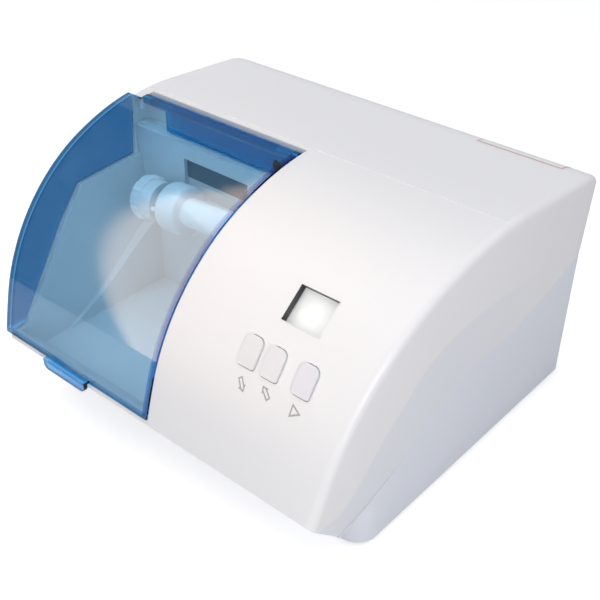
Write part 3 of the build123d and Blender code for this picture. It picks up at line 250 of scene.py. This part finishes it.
# Below the crease on each side the case is painted a little greyer, down to the parting line. This is painted
# shade for the face there, which leans away from the light. The crease is a curve of its height over its
# length, both as fractions. The grey fades out towards the rear.
front_half = 0.11675     # from the front of the finger tab to the middle of the machine
crease_front, crease_rear, crease_top = 0.024 - front_half, 0.150 - front_half, 0.11
crease_ends = (0.0, 0.364), (1.0, 0.95)
crease_between = ((0.08, 0.436), (0.2, 0.618), (0.3, 0.736), (0.4, 0.85), (0.51, 0.918), (0.66, 0.95),
                  (0.81, 0.964))
case_tree = case_white.node_tree
case_spot = add_node(case_tree, "TexCoord").outputs
case_place = add_node(case_tree, "SeparateXYZ", {"Vector": case_spot["Object"]}).outputs
crease_length = ramp(case_tree, case_place["Y"], crease_front, crease_rear)
crease = add_node(case_tree, "FloatCurve", {"Value": crease_length})
crease_curve = crease.mapping.curves[0]
for point, end in zip(crease_curve.points, crease_ends):
    point.location = end
for place in crease_between:
    crease_curve.points.new(*place)
crease.mapping.update()
crease_height = calculate(case_tree, "MULTIPLY", crease.outputs["Value"], crease_top)
drop = calculate(case_tree, "SUBTRACT", crease_height, case_place["Z"])
below = ramp(case_tree, drop, 0.0, 0.0012)
fade = ramp(case_tree, case_place["Y"], 0.06, -0.02)
facing = add_node(case_tree, "SeparateXYZ", {"Vector": case_spot["Normal"]}).outputs["X"]
sideways = calculate(case_tree, "GREATER_THAN", calculate(case_tree, "ABSOLUTE", facing), 0.8)
crease_shade = calculate(case_tree, "MULTIPLY", below, fade)
# Painted shade: the sides below the crease are tinted grey.
recolour(case_white, calculate(case_tree, "MULTIPLY", crease_shade, sideways), (0.75, 0.77, 0.81))
finish_with(case_white, "upper_case")
finish_with(base_painted_shade, "lower_base")


# ---------------------------------------------------------------- mixing chamber
# A smooth white tub lines the space under the lid. The arm comes in through a rubber grommet in its right
# wall.
# A dark foam pad with a pale lower half sits behind the slot in its rear wall; its dark colour is painted
# shade for the space behind the slot.
# The lid's switch and magnet are capped in the same white plastic.
tub_white = moulded("tub_white", (0.76, 0.78, 0.81), 0.28, 0.06, 900.0, 0.05)
# The foam's dark colour is painted shade for the unlit space behind the slot.
painted_shade_foam = moulded("painted_shade_foam", (0.17, 0.21, 0.26), 0.85, 0.5, 1400.0, 1.0)
rubber_black = moulded("rubber_black", (0.025, 0.025, 0.027), 0.6, 0.3, 1800.0, 0.3)
foam_tree = painted_shade_foam.node_tree
foam_place = add_node(foam_tree, "TexCoord").outputs["Object"]
foam_height = add_node(foam_tree, "SeparateXYZ", {"Vector": foam_place}).outputs["Z"]
pale_top = 0.1087        # height at which the foam's pale half ends
recolour(painted_shade_foam, ramp(foam_tree, foam_height, pale_top + 0.0002, pale_top - 0.0002), (0.74, 0.76, 0.79))
finish_with(tub_white, "chamber_tub", "lid_switch", "lid_magnet")
finish_with(painted_shade_foam, "baffle_foam")
finish_with(rubber_black, "arm_grommet", "bracket_dampers", "feet")


# ---------------------------------------------------------------- lid
# The lid is one moulding of clear blue acrylic. A deeper blue is painted along its rim, its rear flange and
# its finger tab, as painted shade for where the sheet is seen end on. It turns on two steel pins in the case.
clear_blue = (0.97, 0.985, 1.0)
lid_blue = plain_material("lid_blue", clear_blue, 0.03)
lid_tree = lid_blue.node_tree
lid_shader = lid_tree.nodes["Principled BSDF"]
lid_shader.inputs["IOR"].default_value = 1.2
lid_shader.inputs["Transmission Weight"].default_value = 1.0
lid_shader.inputs["Coat IOR"].default_value = 1.5
lid_shader.inputs["Coat Roughness"].default_value = 0.02
lid_depth = add_node(lid_tree, "VolumeAbsorption", {"Color": (0.08, 0.56, 0.80, 1), "Density": 215.0})
lid_tree.links.new(lid_depth.outputs["Volume"], lid_tree.nodes["Material Output"].inputs["Volume"])
lid_place = add_node(lid_tree, "TexCoord").outputs["Object"]


def lid_past(direction, start, end):
    """Mask of the lid past a distance along a direction, over a short blend."""
    along = add_node(lid_tree, "VectorMath", {0: lid_place, 1: direction}, operation="DOT_PRODUCT")
    return ramp(lid_tree, along.outputs["Value"], start, end)


lid_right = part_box("lid")[1][0]
left_rim = lid_past((-1.0, -0.028, -0.083), 0.1068, 0.1076)
right_rim = lid_past((1.0, 0.0, 0.0), lid_right - 0.0034, lid_right - 0.0026)
rear_flange = lid_past((0.0, 1.0, 0.0), -0.0004, 0.0001)
finger_tab = lid_past((0.0, 0.0, -1.0), -0.0487, -0.0477)
lid_colour = (*clear_blue, 1)
# Painted shade: each edge region gets a deeper blue than the clear sheet.
for lid_edge, tint in ((left_rim, (0.06, 0.18, 0.34)), (right_rim, (0.05, 0.28, 0.68)),
                       (rear_flange, (0.002, 0.6, 0.87)), (finger_tab, (0.18, 0.5, 0.8))):
    lid_colour = colour_mix(lid_tree, lid_edge, lid_colour, (*tint, 1))
lid_tree.links.new(lid_colour, lid_shader.inputs["Base Color"])
# Its mirror gloss fades towards the rear, and has faint smears.
lid_coat = ramp(lid_tree, lid_past((0.0, 1.0, 0.0), -0.045, -0.02), 0.0, 1.0, 0.7, 0.0)
lid_tree.links.new(lid_coat, lid_shader.inputs["Coat Weight"])
lid_smear = add_node(lid_tree, "TexNoise", {"Vector": lid_place, "Scale": 60.0}).outputs["Fac"]
lid_tree.links.new(ramp(lid_tree, lid_smear, 0.0, 1.0, 0.01, 0.05), lid_shader.inputs["Roughness"])
finish_with(lid_blue, "lid")
steel = moulded("steel", (0.6, 0.61, 0.62), 0.25, 0.15, 1500.0, 0.1, 1.0)
finish_with(steel, "hinge_pins", "pivot_pin", "pivot_clip", "crank_bearing")


# ---------------------------------------------------------------- shaking arm
# The arm is turned in aluminium and anodised pale grey. It swings in bronze bushes and has a round holder
# at its end. The ribbed plastic knob slides on two guide rods and presses the capsule into the holder.
arm_grey = moulded("arm_grey", (0.86, 0.86, 0.87), 0.3, 0.1, 1200.0, 0.1)
knob_white = moulded("knob_white", (0.86, 0.86, 0.87), 0.3, 0.08, 1200.0, 0.1)
bronze = moulded("bronze", (0.55, 0.36, 0.17), 0.4, 0.3, 900.0, 0.2, 1.0)
finish_with(arm_grey, "swing_arm")
finish_with(knob_white, "clamp_jaw")
finish_with(bronze, "arm_bushes")


# ---------------------------------------------------------------- key panel
# Three key caps stand a little out of the sloping panel. The display sits behind a clear window, in a liner
# that is black inside, as painted shade for the walls of its recess, and white on the rim that shows at the
# window's edge.
key_grey = moulded("key_grey", (0.76, 0.755, 0.77), 0.32, 0.05)
key_violet = moulded("key_violet", (0.74, 0.73, 0.78), 0.32, 0.05)
finish_with(key_grey, "down_button", "up_button")
finish_with(key_violet, "start_button")
# The liner's black is painted shade for the recess walls.
painted_shade_liner = moulded("painted_shade_liner", (0.03, 0.03, 0.035), 0.4, 0.2)
liner_tree = painted_shade_liner.node_tree
panel_lean = radians(38.8)    # slope of the panel at the window
panel_outward = (0.0, -sin(panel_lean), cos(panel_lean))
liner_normal = add_node(liner_tree, "NewGeometry").outputs["True Normal"]
liner_facing = add_node(liner_tree, "VectorMath", {0: liner_normal, 1: panel_outward},
                        operation="DOT_PRODUCT")
liner_rim = calculate(liner_tree, "GREATER_THAN", liner_facing.outputs["Value"], 0.9)
recolour(painted_shade_liner, liner_rim, (0.8, 0.8, 0.81))
finish_with(painted_shade_liner, "window_liner")
window_clear = plain_material("window_clear", (0.97, 0.98, 0.98), 0.02)
window_shader = window_clear.node_tree.nodes["Principled BSDF"]
window_shader.inputs["IOR"].default_value = 1.1
window_shader.inputs["Transmission Weight"].default_value = 1.0
finish_with(window_clear, "display_window")
display_painted_glow = moulded("display_painted_glow", (0.88, 0.89, 0.88), 0.3, 0.03)
display_shader = display_painted_glow.node_tree.nodes["Principled BSDF"]
# The display face glows faintly: painted light that lifts it out of the shade of its recess.
display_shader.inputs["Emission Color"].default_value = (1.0, 1.0, 0.98, 1)
display_shader.inputs["Emission Strength"].default_value = 0.16
finish_with(display_painted_glow, "display_module")


def laid_on_case(piece, material, lift):
    """Presses a flat piece straight down on to the upper case, standing off by its print thickness."""
    bpy.ops.object.select_all(action="DESELECT")
    piece.select_set(True)
    bpy.context.view_layer.objects.active = piece
    wrap = piece.modifiers.new("laid_on", "SHRINKWRAP")
    wrap.target = nodes["upper_case"]
    wrap.wrap_method = "PROJECT"
    wrap.use_project_z = True
    wrap.use_negative_direction = True
    wrap.use_positive_direction = True
    wrap.wrap_mode = "ABOVE_SURFACE"
    wrap.offset = lift
    bpy.ops.object.modifier_apply(modifier=wrap.name)
    piece.data.materials.append(material)
    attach(piece, "body")


# Each arrow and the triangle is one thin outline print, laid on the panel under its key.
print_grey = moulded("print_grey", (0.42, 0.4, 0.4), 0.5, 0.2)
print_thickness = 0.00006
print_line = 0.00075     # width of an outline
print_depth = 0.55       # plan depth of a print over its length, since the panel slopes steeply there
arrow_outline = [(-1.3, -3.4), (1.3, -3.4), (1.3, 0.6), (2.2, 0.6), (0.0, 3.4), (-2.2, 0.6), (-1.3, 0.6)]
triangle_outline = [(-2.6, -3.0), (3.2, 0.0), (-2.6, 3.0)]


def panel_print(name, outline, x, behind_front, turn):
    """Outline symbol, drawn flat in millimetres, turned, and then laid on the sloping panel."""
    bpy.ops.object.select_all(action="DESELECT")
    bpy.ops.mesh.primitive_circle_add(vertices=len(outline), fill_type="NGON")
    symbol = bpy.context.object
    symbol.name = name
    for corner, (across, along) in zip(symbol.data.vertices, outline):
        corner.co = (across / 1000, along / 1000, 0)
    bpy.ops.object.mode_set(mode="EDIT")
    bpy.ops.mesh.select_all(action="SELECT")
    bpy.ops.mesh.inset(thickness=print_line, use_even_offset=True)
    bpy.ops.mesh.delete(type="FACE")
    bpy.ops.mesh.select_all(action="SELECT")
    bpy.ops.mesh.subdivide(number_cuts=2)
    bpy.ops.object.mode_set(mode="OBJECT")
    symbol.rotation_euler = (0, 0, turn)
    bpy.ops.object.transform_apply(location=False, rotation=True, scale=False)
    symbol.scale = (1, print_depth, 1)
    symbol.location = (x, behind_front - front_half, 0.1)
    bpy.ops.object.transform_apply(location=True, rotation=True, scale=True)
    laid_on_case(symbol, print_grey, print_thickness)


panel_print("down_symbol", arrow_outline, 0.0542, 0.0203, pi + 0.66)
panel_print("up_symbol", arrow_outline, 0.0677, 0.0214, 0.87)
panel_print("start_symbol", triangle_outline, 0.0855, 0.0208, 0.0)


# ---------------------------------------------------------------- blank label
# A plain white sticker with a thin pale red frame, pasted over the rear edge of the roof, where it bends
# down with the surface. The frame is a red sheet that shows around a slightly smaller white one.
label_white = moulded("label_white", (0.84, 0.84, 0.83), 0.25, 0.04)
label_red = moulded("label_red", (0.72, 0.38, 0.38), 0.4, 0.1)
label_low, label_high = Vector((0.0577, 0.197 - front_half)), Vector((0.108, 0.2195 - front_half))
label_frame_width = 0.001


def label_sheet(name, margin, material, lift):
    """Flat sheet inside the label's outline by a margin, laid on the roof."""
    middle, extent = (label_low + label_high) / 2, label_high - label_low
    bpy.ops.object.select_all(action="DESELECT")
    bpy.ops.mesh.primitive_plane_add(size=1.0, location=(*middle, 0.2))
    sheet = bpy.context.object
    sheet.name = name
    sheet.scale = (extent.x - 2 * margin, extent.y - 2 * margin, 1)
    bpy.ops.object.transform_apply(location=True, rotation=True, scale=True)
    bpy.ops.object.mode_set(mode="EDIT")
    bpy.ops.mesh.subdivide(number_cuts=24)
    bpy.ops.object.mode_set(mode="OBJECT")
    laid_on_case(sheet, material, lift)
    bpy.ops.object.shade_smooth()


label_sheet("label_frame", 0.0, label_red, print_thickness)
label_sheet("label_blank", label_frame_width, label_white, 2 * print_thickness)


# ---------------------------------------------------------------- inside the case
# The motor stands in the base, in a zinc-plated sheet bracket on rubber dampers, with the transformer at
# its left and the power board behind. The control board is screwed up under the keys. Each has the plain
# finish of its kind, and so have the inlet, the switch and the fuse holder in the rear wall.
motor_dark = moulded("motor_dark", (0.09, 0.095, 0.1), 0.35, 0.2)
zinc = moulded("zinc", (0.55, 0.56, 0.58), 0.35, 0.4, 300.0, 0.1, 1.0)
board_green = moulded("board_green", (0.02, 0.16, 0.06), 0.3, 0.3, 400.0, 0.2)
laminations = moulded("laminations", (0.12, 0.12, 0.13), 0.5, 0.4, 700.0, 0.5)
coil_yellow = moulded("coil_yellow", (0.62, 0.45, 0.08), 0.45, 0.3, 500.0, 0.4)
black_plastic = moulded("black_plastic", (0.03, 0.03, 0.033), 0.35, 0.2)
finish_with(motor_dark, "motor_housing", "motor_end_cap", "motor_magnets")
finish_with(zinc, "motor_bracket", "rotor", "eccentric_hub", "board_screws", "motor_screws", "bracket_screws",
            "power_board_screws", "case_screws", "tub_screws")
finish_with(board_green, "control_board", "power_board")
finish_with(laminations, "transformer_core", "heat_sink")
finish_with(coil_yellow, "transformer_coil")
finish_with(black_plastic, "button_switches", "power_capacitor", "power_relay", "mains_inlet",
            "switch_frame", "power_rocker", "fuse_holder")
